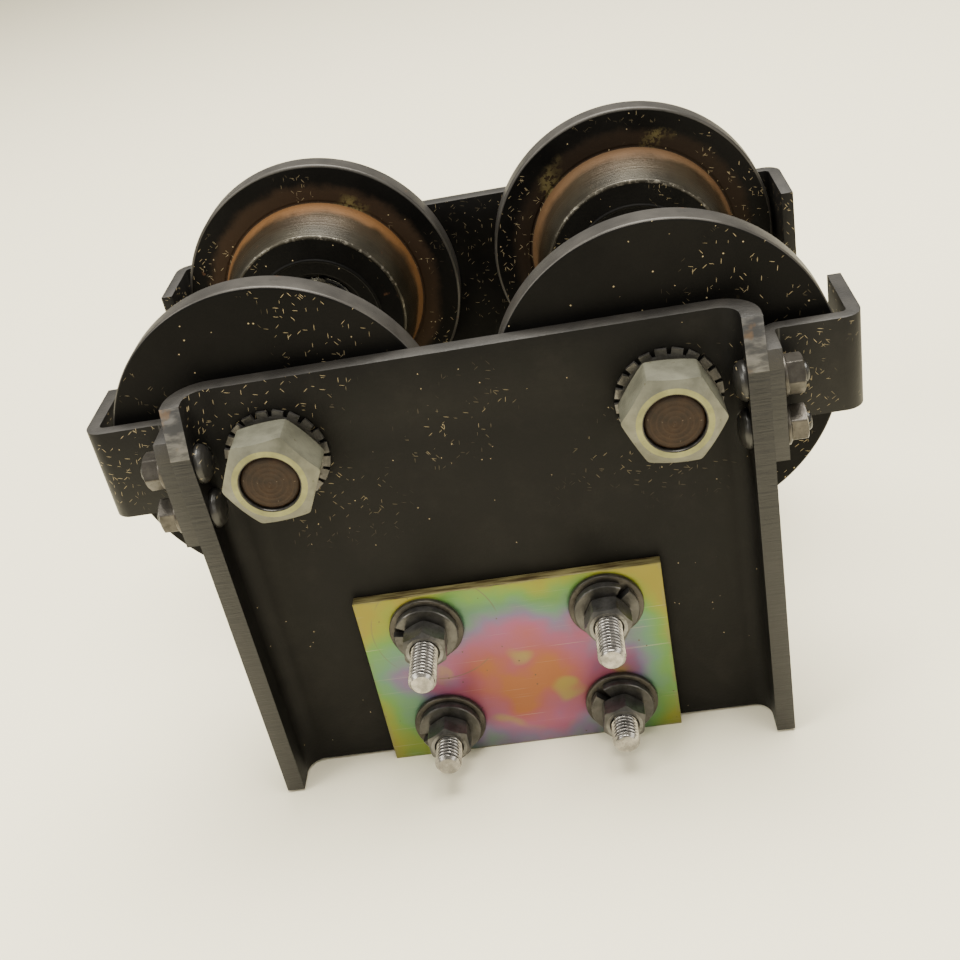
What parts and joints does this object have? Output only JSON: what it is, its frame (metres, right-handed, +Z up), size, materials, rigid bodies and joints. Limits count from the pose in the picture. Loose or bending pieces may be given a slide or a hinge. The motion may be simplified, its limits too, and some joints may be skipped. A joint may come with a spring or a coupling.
{
  "type": "sliding door roller",
  "caption": "Door trolley with flanged tapered wheels between two channel side plates, end guards beside the wheels and threaded rods through hanger pads.",
  "frame": {"origin": "centre of the foot of the trolley: midway between the side plates and between the axles, at the hanger pads' lower edge", "axes": "+X along the track, +Y across the track from the front plate to the rear plate, +Z up"},
  "size_m": [0.2496, 0.2154, 0.1885],
  "materials": {
    "black_plate": "thin satin black on hot-rolled plate, light dust, scuffed sheared edges",
    "black_guard": "thin satin black on steel strap, dusty, grey cut edges",
    "black_bolt": "black oxide, oily",
    "guard_nut": "dull plated steel, greasy",
    "yellow_zinc": "iridescent yellow passivated zinc, green edges and pink middle, scratched",
    "bare_steel": "bare rolled-thread steel, oily",
    "oiled_washer": "dark oiled steel",
    "wheel_steel": "black turned steel with bright worn rim and tread, rust beside the flange",
    "bearing_steel": "ground bearing steel",
    "bearing_shield": "dark pressed shield, greasy",
    "spring_steel": "dull zinc over spring steel",
    "rusty_axle": "brown rusted turned steel",
    "zinc_nut": "chalky zinc plate with yellow tinge on the chamfer"
  },
  "bodies": {
    "frame": {"front_side_plate": "black_plate", "rear_side_plate": "black_plate", "front_left_guard": "black_guard", "front_right_guard": "black_guard", "rear_left_guard": "black_guard", "rear_right_guard": "black_guard", "front_guard_bolts": "black_bolt", "front_guard_nuts": "guard_nut", "rear_guard_bolts": "black_bolt", "rear_guard_nuts": "guard_nut", "front_pad_plate": "yellow_zinc", "rear_pad_plate": "yellow_zinc", "tie_rods": "bare_steel", "spacer_sleeves": "black_guard", "front_flat_washers": "oiled_washer", "front_lock_washers": "oiled_washer", "front_rod_nuts": "bare_steel", "rear_flat_washers": "oiled_washer", "rear_lock_washers": "oiled_washer", "rear_rod_nuts": "bare_steel", "front_left_bearing_inner": "bearing_steel", "front_left_retaining_ring": "spring_steel", "front_left_axle": "rusty_axle", "front_left_axle_nut": "zinc_nut", "front_left_tooth_washer": "spring_steel", "front_right_bearing_inner": "bearing_steel", "front_right_retaining_ring": "spring_steel", "front_right_axle": "rusty_axle", "front_right_axle_nut": "zinc_nut", "front_right_tooth_washer": "spring_steel", "rear_left_bearing_inner": "bearing_steel", "rear_left_retaining_ring": "spring_steel", "rear_left_axle": "rusty_axle", "rear_left_axle_nut": "zinc_nut", "rear_left_tooth_washer": "spring_steel", "rear_right_bearing_inner": "bearing_steel", "rear_right_retaining_ring": "spring_steel", "rear_right_axle": "rusty_axle", "rear_right_axle_nut": "zinc_nut", "rear_right_tooth_washer": "spring_steel"},
    "front_left_wheel_body": {"front_left_wheel": "wheel_steel", "front_left_bearing_outer": "bearing_steel", "front_left_bearing_balls": "bearing_steel", "front_left_bearing_shields": "bearing_shield"},
    "front_right_wheel_body": {"front_right_wheel": "wheel_steel", "front_right_bearing_outer": "bearing_steel", "front_right_bearing_balls": "bearing_steel", "front_right_bearing_shields": "bearing_shield"},
    "rear_left_wheel_body": {"rear_left_wheel": "wheel_steel", "rear_left_bearing_outer": "bearing_steel", "rear_left_bearing_balls": "bearing_steel", "rear_left_bearing_shields": "bearing_shield"},
    "rear_right_wheel_body": {"rear_right_wheel": "wheel_steel", "rear_right_bearing_outer": "bearing_steel", "rear_right_bearing_balls": "bearing_steel", "rear_right_bearing_shields": "bearing_shield"}
  },
  "joints": [
    {"name": "front_left_wheel_spin", "type": "hinge", "parent": "frame", "child": "front_left_wheel_body", "pos_m": [-0.0635, -0.047, 0.133], "axis": [0, 1, 0], "continuous": true},
    {"name": "front_right_wheel_spin", "type": "hinge", "parent": "frame", "child": "front_right_wheel_body", "pos_m": [0.0635, -0.047, 0.133], "axis": [0, 1, 0], "continuous": true},
    {"name": "rear_left_wheel_spin", "type": "hinge", "parent": "frame", "child": "rear_left_wheel_body", "pos_m": [-0.0635, 0.047, 0.133], "axis": [0, 1, 0], "continuous": true},
    {"name": "rear_right_wheel_spin", "type": "hinge", "parent": "frame", "child": "rear_right_wheel_body", "pos_m": [0.0635, 0.047, 0.133], "axis": [0, 1, 0], "continuous": true}
  ]
}
